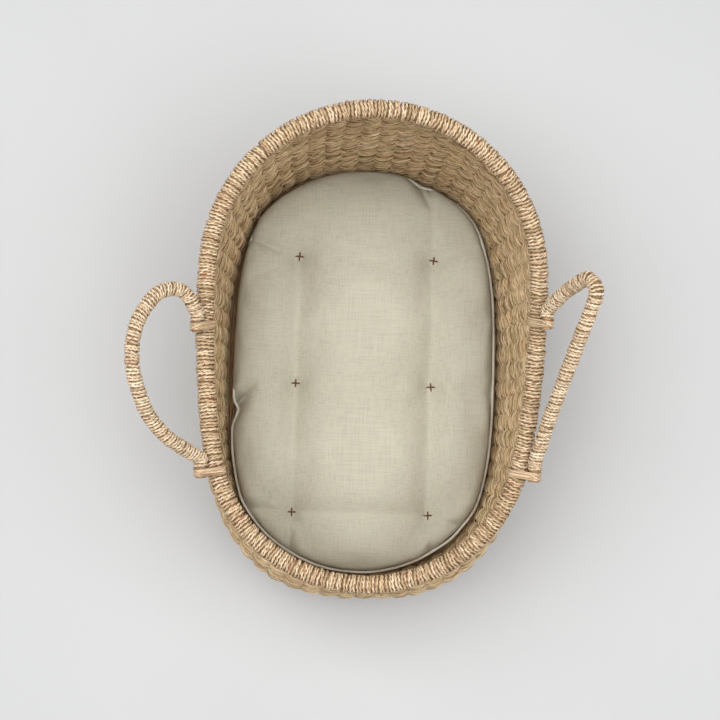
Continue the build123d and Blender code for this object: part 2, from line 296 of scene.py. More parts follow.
def noise(tree, vector, scale, detail=2.0, roughness=0.5):
    """A noise texture of a vector multiplied by a scale for each axis."""
    mapping = tree.nodes.new("ShaderNodeMapping")
    mapping.inputs["Scale"].default_value = scale
    tree.links.new(vector, mapping.inputs["Vector"])
    node = tree.nodes.new("ShaderNodeTexNoise")
    node.inputs["Scale"].default_value = 1.0
    node.inputs["Detail"].default_value = detail
    node.inputs["Roughness"].default_value = roughness
    tree.links.new(mapping.outputs[0], node.inputs["Vector"])
    return node.outputs[0]


def connect(tree, value, socket):
    """Give a socket another socket's value, a colour or a number."""
    if isinstance(value, bpy.types.NodeSocket):
        tree.links.new(value, socket)
    elif isinstance(value, tuple):
        socket.default_value = (*value, 1)
    else:
        socket.default_value = value


def maths(tree, operation, *values):
    """One operation on sockets or numbers."""
    node = tree.nodes.new("ShaderNodeMath")
    node.operation = operation
    for socket, value in zip(node.inputs, values):
        connect(tree, value, socket)
    return node.outputs[0]


def ramp(tree, value, stops):
    """A colour ramp from (place, colour) stops."""
    node = tree.nodes.new("ShaderNodeValToRGB")
    elements = node.color_ramp.elements
    while len(elements) < len(stops):
        elements.new(0.5)
    for element, (place, colour) in zip(elements, stops):
        element.position = place
        element.color = (*colour, 1)
    tree.links.new(value, node.inputs[0])
    return node.outputs[0]


def mix_colour(tree, factor, a, b, kind="MIX"):
    """Mix two colours; factor, a and b are sockets or plain values."""
    node = tree.nodes.new("ShaderNodeMix")
    node.data_type = "RGBA"
    node.blend_type = kind
    for number, value in ((0, factor), (6, a), (7, b)):
        connect(tree, value, node.inputs[number])
    return node.outputs[2]


def multiplied(tree, a, b):
    """One colour multiplied by another."""
    return mix_colour(tree, 1.0, a, b, "MULTIPLY")


def painted(tree, shader, colour, roughness):
    """Give the shader its colour and roughness."""
    tree.links.new(colour, shader.inputs["Base Color"])
    shader.inputs["Roughness"].default_value = roughness


def bumped(tree, shader, height, strength, distance):
    """Drive the shader's normal from a height."""
    node = tree.nodes.new("ShaderNodeBump")
    node.inputs["Strength"].default_value = strength
    node.inputs["Distance"].default_value = distance
    tree.links.new(height, node.inputs["Height"])
    tree.links.new(node.outputs[0], shader.inputs["Normal"])


def straw(name, light, body, olive, brown, odd, half_width, dark=0.88):
    """Dried seagrass: fibres along each strand, olive or brown patches, and painted shade that
    darkens each strand towards its edges, where strands meet.

    A patch has an odd colour where its noise is above odd; dark scales the darkest strands.
    """
    material, tree, shader = new_material(name)
    fibre = attribute(tree, "fibre", "Vector")
    tone = attribute(tree, "tone", "Fac")
    streaks = noise(tree, fibre, FIBRE_STREAKS, 3, 0.6)
    patches = noise(tree, fibre, FIBRE_PATCHES)
    shade = tuple(dark * part for part in body)
    base = ramp(tree, tone, [(0.0, shade), (0.2, body), (0.45, light), (0.7, body), (0.9, light),
                             (1.0, shade)])
    odd_patch = ramp(tree, patches, [(odd, BLACK), (odd + 0.10, WHITE)])
    odd_colour = ramp(tree, tone, [(0.0, olive), (0.45, olive), (0.55, brown), (1.0, brown)])
    colour = mix_colour(tree, odd_patch, base, odd_colour)
    fine = ramp(tree, streaks, [(0.34, (0.40, 0.36, 0.31)), (0.50, (0.96, 0.96, 0.96)),
                                (0.70, (1.28, 1.26, 1.22))])
    colour = multiplied(tree, colour, fine)
    parts = tree.nodes.new("ShaderNodeSeparateXYZ")
    tree.links.new(fibre, parts.inputs[0])
    across = maths(tree, "MULTIPLY", parts.outputs["Y"], 1 / half_width)
    aside = maths(tree, "ABSOLUTE", across)
    # painted shade: each strand darkens towards its sides, standing in for the shade between
    # neighbouring strands
    edge = ramp(tree, aside, [(0.45, WHITE), (0.95, (0.42, 0.36, 0.30))])
    painted(tree, shader, multiplied(tree, colour, edge), 0.62)
    shader.inputs["Specular IOR Level"].default_value = 0.35
    bumped(tree, shader, streaks, 0.55, 0.0006)
    return material


def plain_straw(name, light, body):
    """Dried stalks on CAD pieces, in the row frame's own coordinates; darker than the wrapping
    straw, partly their own colour and partly painted shade in the gaps between wraps.
    """
    material, tree, shader = new_material(name)
    place = tree.nodes.new("ShaderNodeTexCoord").outputs["Object"]
    streaks = noise(tree, place, (500, 500, 500), 3, 0.6)
    patches = noise(tree, place, (40, 40, 40))
    colour = ramp(tree, patches, [(0.35, body), (0.65, light)])
    fine = ramp(tree, streaks, [(0.3, (0.6, 0.6, 0.6)), (0.6, WHITE)])
    painted(tree, shader, multiplied(tree, colour, fine), 0.7)
    bumped(tree, shader, streaks, 0.4, 0.0005)
    return material


def linen(name, colour, shade):
    """Fine plain-woven linen: crossing threads with uneven slubs."""
    material, tree, shader = new_material(name)
    place = tree.nodes.new("ShaderNodeTexCoord").outputs["Object"]
    threads = []
    for direction in "XY":
        wave = tree.nodes.new("ShaderNodeTexWave")
        wave.bands_direction = direction
        wave.inputs["Scale"].default_value = WAVE_RATIO / THREAD_PITCH
        wave.inputs["Distortion"].default_value = 1.2
        wave.inputs["Detail"].default_value = 1.0
        tree.links.new(place, wave.inputs["Vector"])
        threads.append(wave.outputs["Fac"])
    weave = maths(tree, "MAXIMUM", *threads)
    slub_x = noise(tree, place, (30, 900, 300))
    slub_y = noise(tree, place, (900, 30, 300))
    slubs = maths(tree, "ADD", slub_x, slub_y)
    cloud = noise(tree, place, (14, 14, 14))
    base = mix_colour(tree, cloud, shade, colour)
    slub_tint = ramp(tree, slubs, [(0.75, (0.90, 0.89, 0.87)), (1.0, WHITE),
                                   (1.0, (1.05, 1.05, 1.04))])
    base = multiplied(tree, base, slub_tint)
    weave_tint = ramp(tree, weave, [(0.2, (0.82, 0.81, 0.79)), (0.8, WHITE)])
    painted(tree, shader, multiplied(tree, base, weave_tint), 0.88)
    shader.inputs["Sheen Weight"].default_value = 0.15
    shader.inputs["Sheen Roughness"].default_value = 0.5
    bumped(tree, shader, weave, 0.35, 0.0003)
    return material


def thread_material():
    """Thick dark cotton thread."""
    material, tree, shader = new_material("tuft_thread")
    ply = noise(tree, attribute(tree, "fibre", "Vector"), (900, 2500, 2500))
    colour = ramp(tree, ply, [(0.35, (0.07, 0.026, 0.014)), (0.65, (0.22, 0.09, 0.045))])
    painted(tree, shader, colour, 0.8)
    bumped(tree, shader, ply, 0.5, 0.0003)
    return material


BODY = (0.60, 0.41, 0.22)
OLIVE, BROWN = (0.46, 0.42, 0.20), (0.44, 0.22, 0.11)
wall_straw = straw("wall_seagrass", (1.0, 0.80, 0.53), (0.84, 0.60, 0.33), (0.58, 0.52, 0.25),
                   (0.50, 0.26, 0.13), 0.54, 0.0010, 0.45)
# painted shade: the base's straw is darker than the wall's, standing in for the deep shade in the
# gap between the pad and the wall
base_straw_in_shade = straw("base_seagrass_painted_shade", BODY, (0.40, 0.26, 0.14), OLIVE, BROWN, 0.53, 0.0028)
rim_straw = straw("rim_seagrass", (0.86, 0.68, 0.47), (0.60, 0.42, 0.25), (0.52, 0.41, 0.21),
                  (0.50, 0.25, 0.14), 0.55, 0.0014)
handle_straw = straw("handle_seagrass", (0.92, 0.77, 0.57), (0.70, 0.52, 0.34),
                     (0.56, 0.48, 0.28), (0.58, 0.33, 0.20), 0.57, 0.0014)
lash_straw = straw("lashing_seagrass", (0.86, 0.68, 0.47), (0.62, 0.44, 0.27),
                   (0.46, 0.35, 0.19), (0.36, 0.17, 0.10), 0.53, 0.0014)
fibre_straw = straw("split_fibres", (1.0, 0.80, 0.54), (0.50, 0.32, 0.16), OLIVE,
                    (0.34, 0.16, 0.08), 0.50, 0.0020)
# painted shade: the cores show between the wraps, so these stalks are darker than the wraps, partly
# their own colour and partly painted shade
stalks = plain_straw("stalks", (0.46, 0.29, 0.15), (0.28, 0.165, 0.08))
pad_linen = linen("pad_linen", (0.565, 0.543, 0.448), (0.515, 0.492, 0.398))
hem_linen = linen("hem_linen", (0.66, 0.62, 0.54), (0.60, 0.56, 0.48))
thread = thread_material()

# ---- rim wrapping ----------------------------------------
RIM_WRAPS = 400
RIM_SINK = 0.0019           # how far the cord's centre lies inside the surface of the rim
RING_POINTS = 44
PLY_OFFSET, PLY_WIDTH, PLY_THICK = 0.0007, 0.00150, 0.0010
TWISTS = 5                  # turns of the two plies in one wrap
CORD_KNOTS = 6              # places in one wrap at which the cord strays


def wrap_cord(strands, centre, out, up, along, radius, lean, slant, tone):
    """One wrap round a roll: a closed ring of two plies twisted round each other."""
    theta = 2 * pi * np.arange(RING_POINTS) / RING_POINTS
    shift = np.abs(np.cos(theta)) * lean + slant * np.cos(theta)
    shift = shift + wobble(RING_POINTS, CORD_KNOTS, 0.0003)
    reach = radius + wobble(RING_POINTS, CORD_KNOTS, 0.0002)
    radial = np.cos(theta)[:, None] * out + np.sin(theta)[:, None] * up
    start = rng.uniform(0, 2 * pi)
    for ply in range(2):
        twist = TWISTS * theta + start + ply * pi
        line = (centre + radial * (reach + PLY_OFFSET * np.sin(twist))[:, None]
                + along * (shift + PLY_OFFSET * np.cos(twist))[:, None])
        width = PLY_WIDTH * (1 + wobble(RING_POINTS, 5, 0.12))
        strands.add(line, radial, width, PLY_THICK, closed=True,
                    tone=(tone + rng.normal(0, 0.15)) % 1)


def rim_wrapping():
    """The rim's tight wrapping of twisted cord, in two halves to keep each mesh small."""
    centres, outs, up = rim_line(RIM_WRAPS)
    halves = {"rim_wrapping_head": Strands(5), "rim_wrapping_foot": Strands(5)}
    for k in range(RIM_WRAPS):
        strands = halves["rim_wrapping_head" if centres[k][1] > 0 else "rim_wrapping_foot"]
        along = np.cross(up, outs[k])
        wrap_cord(strands, centres[k] + along * rng.normal(0, 0.0004), outs[k], up, along,
                  RIM_RADIUS - RIM_SINK + rng.normal(0, 0.0003), rng.uniform(0.0004, 0.0022),
                  rng.normal(0.0003, 0.0007), rng.uniform())
    for name, strands in halves.items():
        strands.finish(name, rim_straw, "rim_wrapping", "basket", ["rim_wrap"])


# ---- wall weave ------------------------------------------
WEAVE_ROWS, ROWS_PER_PIECE = 12, 2
PLY_STRANDS = 9             # strands in each of the two bundles of a row
WEAVE_BOTTOM, WEAVE_TOP = 0.012, 0.968
ROW_LEVEL = (WEAVE_TOP - WEAVE_BOTTOM) / WEAVE_ROWS
STEPS_PER_STAKE = 6
WALL_STEPS = STAKE_COUNT * STEPS_PER_STAKE
WEAVE_DEPTH = 0.0026        # how far a bundle swings in front of and behind the stakes
WEAVE_SLANT = 0.16          # how far a bundle climbs as it crosses its partner, in rows
PINCHED, SPREAD = 0.78, 0.22    # a bundle's share of its height where it crosses, and the rest
CROWN = 0.0007              # how far a bundle's middle strand stands out beyond its outer ones
STRAND_WIDTH, STRAND_THICK = 0.00108, 0.0013
PITH_OVERLAP, PITH_THICK = 1.25, 0.0004     # the dark middle of a bundle closes the wall
FIBRES_PER_ROW = 14
FIBRE_DEPTH = 0.0022        # a fibre's depth where it crosses; over a stake it's twice that


def weave_path(rings, level, depth):
    """A line at a level of the wall, moved outwards by a depth, and its outward normals."""
    line = on_wall(rings, level)
    rise = unit(on_wall(rings, level + 0.01) - line)
    outward = unit(np.cross(unit(np.gradient(line, axis=0)), rise))
    return line + outward * depth[:, None], outward


def stake_rings():
    """The wall's levels at points in step with the stakes, and each point's phase."""
    rings = wall_rings(even_angles(WALL_STEPS, WALL_LEVELS[1][1:]))
    return rings, pi * np.arange(WALL_STEPS) / STEPS_PER_STAKE


def wall_weave():
    """Rows of two bundles of strands that cross between the stakes, one each side of them."""
    rings, phase = stake_rings()
    over = np.clip(1.3 * np.cos(phase), -1, 1)
    gathered = PINCHED + SPREAD * np.abs(over)
    for first in range(0, WEAVE_ROWS, ROWS_PER_PIECE):
        strands = Strands(5)
        for row in range(first, first + ROWS_PER_PIECE):
            middle = WEAVE_BOTTOM + ROW_LEVEL * (row + 0.5) + wobble(WALL_STEPS, 14, 0.0030)
            for ply in (-1, 1):
                bundle = middle + ply * ROW_LEVEL * WEAVE_SLANT * np.sin(phase)
                swing = ply * WEAVE_DEPTH * over
                core, outward = weave_path(rings, bundle, swing)
                half_height = RIM_HEIGHT * ROW_LEVEL / 2 * PITH_OVERLAP * gathered
                strands.add(core, outward, half_height, PITH_THICK, closed=True)
                for k in range(PLY_STRANDS):
                    place = (k - (PLY_STRANDS - 1) / 2) / PLY_STRANDS
                    level = bundle + ROW_LEVEL * place * gathered
                    level = level + wobble(WALL_STEPS, 80, 0.0026)
                    level = np.clip(level, WEAVE_BOTTOM, WEAVE_TOP)
                    crown = np.sign(swing) * (1 - (2 * place) ** 2) * CROWN
                    depth = swing + crown * np.abs(over) + wobble(WALL_STEPS, 150, 0.0007)
                    line, outward = weave_path(rings, level, depth)
                    width = STRAND_WIDTH * (1 + wobble(WALL_STEPS, 70, 0.22))
                    strands.add(line, outward, width, STRAND_THICK, closed=True)
        name = f"wall_weave_{first // ROWS_PER_PIECE + 1}"
        strands.finish(name, wall_straw, "wall_weave", "basket",
                       ["wall_outer_weave", "wall_inner_weave"])


def wall_fibres():
    """Thin split fibres that lie over the weft on both faces of the wall."""
    rings, phase = stake_rings()
    bulge = np.abs(np.cos(phase))
    strands = Strands(3)
    for row in range(WEAVE_ROWS):
        for number in range(FIBRES_PER_ROW):
            start, run = rng.integers(WALL_STEPS), rng.integers(60, 200)
            k = (start + np.arange(run)) % WALL_STEPS
            place = rng.uniform(-0.45, 0.45) + wobble(run, 10, 0.22, False)
            level = WEAVE_BOTTOM + ROW_LEVEL * (row + 0.5 + place)
            level = np.clip(level, WEAVE_BOTTOM, WEAVE_TOP)
            face = 1 if number % 2 else -1
            depth = face * (FIBRE_DEPTH + FIBRE_DEPTH * bulge[k]) + wobble(run, 40, 0.0002, False)
            line, outward = weave_path([ring[k] for ring in rings], level, depth)
            strands.add(line, outward, rng.uniform(0.0004, 0.0007), 0.0005)
    strands.finish("wall_fibres", fibre_straw, "wall_weave", "basket")


# ---- base ------------------------------------------------
BASE_BUNDLES, BUNDLE_STRANDS, BASE_STAKES = 16, 5, 26
BASE_MIDDLE, BASE_SWING = 0.0039, 0.0022    # height of the stakes, and of the weave about them
BORDER_INSETS = (-0.0005, 0.0032, 0.0070, 0.0105, 0.0140, 0.0175)
BORDER_POINTS, BORDER_HEIGHT = 400, 0.0040
EDGE_POINTS, EDGE_TURNS, EDGE_STRANDS = 1100, 74, 3


def half_chord(place, across, along, power):
    """How far the base reaches along one direction at a place across it."""
    return along * max(0.0, 1 - abs(place / across) ** power) ** (1 / power) - 0.002


def base_weave():
    """The base: bundles along its length woven over and under straight stakes, and a border."""
    half_width, length, _, power = BASE_OVAL
    strands = Strands(5)
    stake_step = 2 * length / BASE_STAKES
    for bundle in range(BASE_BUNDLES):
        centre = (bundle - (BASE_BUNDLES - 1) / 2) * 2 * half_width / BASE_BUNDLES
        for k in range(BUNDLE_STRANDS):
            x = centre + (k - 2) * 2 * half_width / BASE_BUNDLES / BUNDLE_STRANDS
            reach = half_chord(x, half_width, length, power)
            if reach < 0.03:
                continue
            y = np.linspace(-reach, reach, int(reach / stake_step * 12) + 4)
            over = np.cos(pi * (y + length) / stake_step + bundle * pi)
            z = BASE_MIDDLE + BASE_SWING * over
            line = np.stack([x + wobble(len(y), 12, 0.0005, False), y, z], 1)
            strands.add(line, UP, 0.0029, 0.0013)
    for k in range(BASE_STAKES):
        y = (k + 0.5) * stake_step - length
        reach = half_chord(y, length, half_width, power)
        x = np.linspace(-reach, reach, 12)
        line = np.stack([x, np.full(12, y), np.full(12, BASE_MIDDLE)], 1)
        strands.add(line, UP, 0.0016, 0.0016)
    for inset in BORDER_INSETS:
        oval = grown(WALL_LEVELS[0][1:], -inset)
        points = oval_points(even_angles(BORDER_POINTS, oval), *oval)
        height = BORDER_HEIGHT + wobble(BORDER_POINTS, 90, 0.0004)
        strands.add(np.column_stack([points, height]), UP, 0.0023, 0.0024, closed=True)
    strands.finish("base_weave", base_straw_in_shade, "base_weave", "basket", ["base_mat"])


def edge_twining():
    """Two thick plies twisted round each other along the foot of the wall."""
    oval = grown(WALL_LEVELS[0][1:], WALL_THICKNESS / 2 + EDGE_ROPE / 2)
    points = oval_points(even_angles(EDGE_POINTS, oval), *oval)
    centre = np.column_stack([points, np.full(EDGE_POINTS, EDGE_ROPE / 2)])
    along = unit(np.roll(centre, -1, 0) - np.roll(centre, 1, 0))
    out = unit(np.cross(along, UP))
    strands = Strands(6)
    for ply in range(2):
        for part in range(EDGE_STRANDS):
            twist = 2 * pi * EDGE_TURNS * np.arange(EDGE_POINTS) / EDGE_POINTS + ply * pi
            inner = 3 * twist + 2 * pi * part / EDGE_STRANDS
            radial = np.cos(twist)[:, None] * out + np.sin(twist)[:, None] * UP
            small = np.cos(inner)[:, None] * out + np.sin(inner)[:, None] * UP
            line = centre + radial * 0.0020 + small * 0.0009
            strands.add(line, radial, 0.0013, 0.0012, closed=True)
    strands.finish("edge_twining", wall_straw, "straw_rope", "basket", ["base_edge_twining"])


# ---- handles ---------------------------------------------
RIM_SAMPLES = 4000
HANDLE_PITCH = 0.0040
ROPE_SINK = 0.0018          # how far the cord's centre lies inside the surface of the rope
STUB_RADIUS, STUB_WRAPS, STUB_STEP = 0.0065, 3, 0.0037      # the turned end of a rope
STUB_RISE = 0.0007          # how far the cord's centre lies outside the stub
LASH_EDGE = 0.0018          # the strands stop this far short of the CAD lashing's ends
LASH_TURNS, LASH_CROSSINGS, LASH_POINTS = 6, 3, 56
LASH_STUB, LASH_RIM = 0.0074, 0.0125        # radii of a turn about the stub and about the rim
LASH_LIFT = 0.0009          # how far the crossings lie over the turns


def rim_place(y):
    """A point of the right half of the rim at a place along its plane, and its normals."""
    points, normals, up = rim_line(RIM_SAMPLES)
    away = np.abs(points[:, 1] / cos(RIM_TILT) - y)
    k = np.argmin(np.where(points[:, 0] > 0, away, np.inf))
    return points[k], normals[k], up


def handle_frame(side, head_y, foot_y, angle):
    """A handle's foot root, the directions along the hinge and away from it, and its span."""
    roots = []
    for y, (reach, lift) in ((foot_y, FOOT_ROOT), (head_y, HEAD_ROOT)):
        point, normal, up = rim_place(y / cos(RIM_TILT))
        root = point + reach * normal + lift * up
        roots.append(root * (side, 1, 1))
    along = unit(roots[1] - roots[0])
    flat = np.array([side, 0, 0.0])
    outward = unit(flat - along * (flat @ along))
    upward = np.cross(along, outward) if side < 0 else np.cross(outward, along)
    away = outward * cos(radians(angle)) + upward * sin(radians(angle))
    return roots[0], along, away, np.linalg.norm(roots[1] - roots[0])


def smooth_route(points, count):
    """Even points on a route whose corners are rounded by arcs, and the route's length."""
    points = np.array(points, float)
    line = [points[0]]
    for before, corner, after in zip(points, points[1:], points[2:]):
        back, ahead = before - corner, after - corner
        run = BEND_SHARE * min(np.linalg.norm(back), np.linalg.norm(ahead))
        back, ahead = unit(back), unit(ahead)
        turn = pi - np.arccos(np.clip(back @ ahead, -1, 1))
        centre = corner + unit(back + ahead) * run / tan(turn / 2) / cos(turn / 2)
        first, last = corner + back * run - centre, corner + ahead * run - centre
        t = np.linspace(0, 1, 24)[:, None]
        line.extend(centre + (np.sin((1 - t) * turn) * first + np.sin(t * turn) * last) / sin(turn))
    line = np.array(line + [points[-1]])
    walked = np.concatenate([[0], np.cumsum(np.linalg.norm(np.diff(line, axis=0), axis=1))])
    at = np.linspace(0, walked[-1], count)
    return np.stack([np.interp(at, walked, line[:, k]) for k in range(2)], 1), walked[-1]


def handle_wrapping(name):
    """The wrapping of one handle, rounded at its roots, and of the stubs beyond them."""
    side, head_y, foot_y, angle, bends = HANDLES[name]
    root, along, away, span = handle_frame(side, head_y, foot_y, angle)
    route = [(0, 0)] + [(u * MM, v * MM) for u, v in bends] + [(span, 0)]
    fine, length = smooth_route(route, 2000)
    line = root + fine[:, :1] * along + fine[:, 1:] * away
    tangent = unit(np.gradient(line, axis=0))
    plane_normal = np.cross(along, away)
    strands = Strands(5)
    wraps = int(length / HANDLE_PITCH)
    for k in range(-2, wraps + 3):
        place = (k + 0.5) / wraps
        i = int(np.clip(place, 0, 1) * (len(line) - 1))
        beyond = (np.clip(place, 0, 1) - place) * length
        centre = line[i] - tangent[i] * (beyond + rng.normal(0, 0.0003))
        radius = ROPE_RADIUS - ROPE_SINK + rng.normal(0, 0.0002)
        if beyond != 0:
            radius = sqrt(max(radius ** 2 - beyond ** 2, 0.002 ** 2))
        out = np.cross(plane_normal, tangent[i])
        wrap_cord(strands, centre, out, plane_normal, tangent[i], radius,
                  rng.uniform(-0.0006, 0.0010), rng.normal(0.0013, 0.0006), rng.uniform())
    for end in (root, root + along * span):
        for k in range(STUB_WRAPS):
            wrap_cord(strands, end - along * STUB_STEP * (k + 0.1), away, plane_normal, along,
                      STUB_RADIUS + STUB_RISE, rng.uniform(-0.0004, 0.0006),
                      rng.normal(0, 0.0004), rng.uniform())
    strands.finish(f"handle_{name}_wrapping", handle_straw, "handle_wrapping", f"handle_{name}",
                   [f"handle_{name}_wrap"])
    return root, along, span


def hull_loop(a, a_radius, b, b_radius, count):
    """A loop pulled tight round two circles, in their plane, with its outward normals."""
    angle = 2 * pi * np.arange(count) / count
    way = np.stack([np.cos(angle), np.sin(angle)], 1)
    on_a = way @ a + a_radius > way @ b + b_radius
    points = np.where(on_a[:, None], a + way * a_radius, b + way * b_radius)
    return points, way


def lashing(name, end, place, root, along, side):
    """Strands bound round the rim and the turned end of one handle rope."""
    strands = Strands(5)
    across = np.array([side, 0, 0.0])
    across = unit(across - along * (across @ along))
    rise = np.cross(along, across)
    rise = rise * np.sign(rise[2])
    rim_points = rim_line(RIM_SAMPLES)[0] * (side, 1, 1)
    near = place - LASH_NEAR - LASH_EDGE
    far = place - LASH_FAR + LASH_EDGE
    for k in range(LASH_TURNS + LASH_CROSSINGS):
        crossing = k >= LASH_TURNS
        if crossing:
            start, stop = (near, far) if k % 2 else (far, near)
        else:
            start = stop = far + (near - far) * (k + 0.5) / LASH_TURNS
        middle = root + along * (start + stop) / 2
        rim = rim_points[np.argmin(np.linalg.norm(rim_points - middle, axis=1))]
        local = np.array([(rim - middle) @ across, (rim - middle) @ rise])
        lift = LASH_LIFT if crossing else 0.0
        loop, way = hull_loop(np.zeros(2), LASH_STUB + lift, local, LASH_RIM + lift, LASH_POINTS)
        theta = 2 * pi * np.arange(LASH_POINTS) / LASH_POINTS + rng.uniform(-0.4, 0.4)
        shift = (start - stop) / 2 * np.cos(theta) + wobble(LASH_POINTS, 6, 0.0005)
        line = middle + loop[:, :1] * across + loop[:, 1:] * rise + shift[:, None] * along
        outward = way[:, :1] * across + way[:, 1:] * rise
        strands.add(line, outward, 0.0014, 0.0011, closed=True, tone=rng.uniform())
    strands.finish(f"handle_{name}_lashing_{end}_strands", lash_straw, "lashing", "basket",
                   [f"handle_{name}_lashing_{end}"])


# ---- mattress --------------------------------------------
PAD_AROUND = 200
PAD_OVAL = (0.1805, 0.280, 0.285, 2.95)     # the soft ends fill out more than the CAD's
RIM_INSET = 0.0110          # the soft ends stay this far inside the rim's centreline
OUTLINE_POINTS = 1440
CLOSENESS = 900             # how closely the outline follows the smaller of oval and rim
PINCHES = [                 # where the edge is drawn in, how far, and how wide
    ((-0.182, -0.066), 0.0065, 0.012),
    ((0.078, 0.268), 0.0040, 0.010),
]
START_TOP, START_BOTTOM = 0.052, 0.0105     # the flat faces before the cover swells
VOXEL = 0.0050
SEAM_HEIGHT, SEAM_REACH = 0.0040, 0.006     # the strip that the seam holds
FLAT_BELOW = 0.016          # under this height the cover lies flat on the base
TUFT_DEPTH, TUFT_REACH = 0.022, 0.0036
PRESSURE, SHRINK = 4.0, -0.020
SWELL_FRAMES = 20
SWELL_CAP = 0.012           # no point swells further than this
BULGE = 0.0020              # how far the swollen side stands out beyond the seam
CREASES = [                 # from one place to another, the depth at each, and half the width
    ((-0.176, 0.182), (-0.093, 0.150), 0.0110, 0.0060, 0.009),
    ((-0.155, 0.122), (-0.093, 0.150), 0.0030, 0.0060, 0.010),
    ((-0.184, -0.056), (-0.144, -0.022), 0.0320, 0.0040, 0.009),
    ((-0.184, -0.074), (-0.150, -0.030), 0.0320, 0.0020, 0.008),
    ((-0.146, -0.026), (-0.093, -0.026), 0.0050, 0.0060, 0.012),
    ((-0.174, -0.196), (-0.093, -0.202), 0.0110, 0.0070, 0.009),
    ((-0.097, -0.274), (-0.093, -0.202), 0.0140, 0.0070, 0.008),
    ((0.174, -0.226), (0.093, -0.202), 0.0080, 0.0050, 0.007),
    ((0.106, -0.270), (0.099, -0.240), 0.0180, 0.0040, 0.007),
    ((0.066, 0.274), (0.091, 0.222), 0.0240, 0.0050, 0.008),
    ((0.084, 0.268), (0.088, 0.226), 0.0180, 0.0030, 0.006),
    ((0.091, 0.222), (0.093, 0.150), 0.0045, 0.0070, 0.014),
    ((0.174, 0.185), (0.093, 0.150), 0.0060, 0.0060, 0.013),
    ((0.182, -0.030), (0.093, -0.026), 0.0060, 0.0050, 0.013),
]
BETWEEN = [                 # the numbers of two tufts, the depth and half the width
    (2, 1, 0.0145, 0.022), (1, 0, 0.0155, 0.022), (5, 4, 0.0130, 0.022), (4, 3, 0.0145, 0.022),
    (0, 3, 0.0110, 0.018), (1, 4, 0.0035, 0.024), (2, 5, 0.0035, 0.024),
]
CREASES += [(TUFTS[a], TUFTS[b], depth, depth, half) for a, b, depth, half in BETWEEN]


def polar(points):
    """Angle and distance of points about the middle of the base."""
    return np.arctan2(points[:, 1], points[:, 0]), np.hypot(points[:, 0], points[:, 1])


def around(points, angles):
    """An outline's distance from the middle at given angles."""
    angle, distance = polar(points)
    return np.interp(angles, angle, distance, period=2 * pi)


def pad_outline(count):
    """The mattress's outline: a full oval, kept inside the rim's opening."""
    angles = np.linspace(0, 2 * pi, OUTLINE_POINTS, endpoint=False)
    oval = oval_points(even_angles(OUTLINE_POINTS, PAD_OVAL), *PAD_OVAL)
    rim, normals, _ = rim_line(OUTLINE_POINTS)
    flat = rim[:, :2] - normals[:, :2] * RIM_INSET
    a, b = around(oval, angles), around(flat, angles)
    radius = -np.log(np.exp(-a * CLOSENESS) + np.exp(-b * CLOSENESS)) / CLOSENESS
    points = radius[:, None] * np.stack([np.cos(angles), np.sin(angles)], 1)
    for place, depth, reach in PINCHES:
        away = np.hypot(*(points - place).T)
        points *= (1 - depth * np.exp(-(away / reach) ** 2) / radius)[:, None]
    steps = np.linalg.norm(np.roll(points, -1, 0) - points, axis=1)
    walked = np.concatenate([[0], np.cumsum(steps)])
    at = np.arange(count) / count * walked[-1]
    closed = np.vstack([points, points[:1]])
    return np.stack([np.interp(at, walked, closed[:, k]) for k in range(2)], 1)


def pad_start():
    """The mattress before it swells: a closed oval form with a rounded edge."""
    outline = pad_outline(PAD_AROUND)
    profile = [(s, 0.0) for s in np.linspace(0.04, 0.92, 24)]
    profile += [(0.92 + 0.08 * sin(a), 1 - cos(a)) for a in np.linspace(0.2, pi / 2, 7)]
    rings = [(s, START_TOP - (START_TOP - PAD_SEAM) * drop) for s, drop in profile]
    rings += [(s, START_BOTTOM + (PAD_SEAM - START_BOTTOM) * drop) for s, drop in profile[-2::-1]]
    verts = [(x * s, y * s, z) for s, z in rings for x, y in outline]
    faces = []
    for r in range(len(rings) - 1):
        for k in range(PAD_AROUND):
            k2 = (k + 1) % PAD_AROUND
            faces.append((r * PAD_AROUND + k2, r * PAD_AROUND + k,
                          (r + 1) * PAD_AROUND + k, (r + 1) * PAD_AROUND + k2))
    last = (len(rings) - 1) * PAD_AROUND
    faces.append(tuple(range(PAD_AROUND)))
    faces.append(tuple(last + k for k in range(PAD_AROUND))[::-1])
    mesh = bpy.data.meshes.new("mattress_pad")
    mesh.from_pydata(verts, [], faces)
    mesh.update()
    return placed("mattress_pad", mesh)


def coordinates(mesh):
    """A mesh's points as an array."""
    co = np.zeros(len(mesh.vertices) * 3)
    mesh.vertices.foreach_get("co", co)
    return co.reshape(-1, 3)


def apply_modifiers(piece):
    """Replace a piece's mesh by what its modifiers make of it."""
    graph = bpy.context.evaluated_depsgraph_get()
    mesh = bpy.data.meshes.new_from_object(piece.evaluated_get(graph))
    piece.modifiers.clear()
    piece.data = mesh


def even_mesh(pad):
    """Rebuild the mattress's surface from even faces."""
    remesh = pad.modifiers.new("remesh", "REMESH")
    remesh.mode = "VOXEL"
    remesh.voxel_size = VOXEL
    apply_modifiers(pad)


def write_points(mesh, co):
    """Move a mesh's points."""
    mesh.vertices.foreach_set("co", co.ravel())
    mesh.update()


def edge_distance(co):
    """How far points are inside the mattress's outline."""
    angle, distance = polar(co)
    return around(pad_outline(720), angle) - distance


def dent(co, depth, reach):
    """How far points sink towards the tufts."""
    drop = np.zeros(len(co))
    for x, y in TUFTS:
        r = np.hypot(co[:, 0] - x, co[:, 1] - y)
        drop = np.maximum(drop, depth * np.exp(-(r / reach) ** 1.2))
    return drop


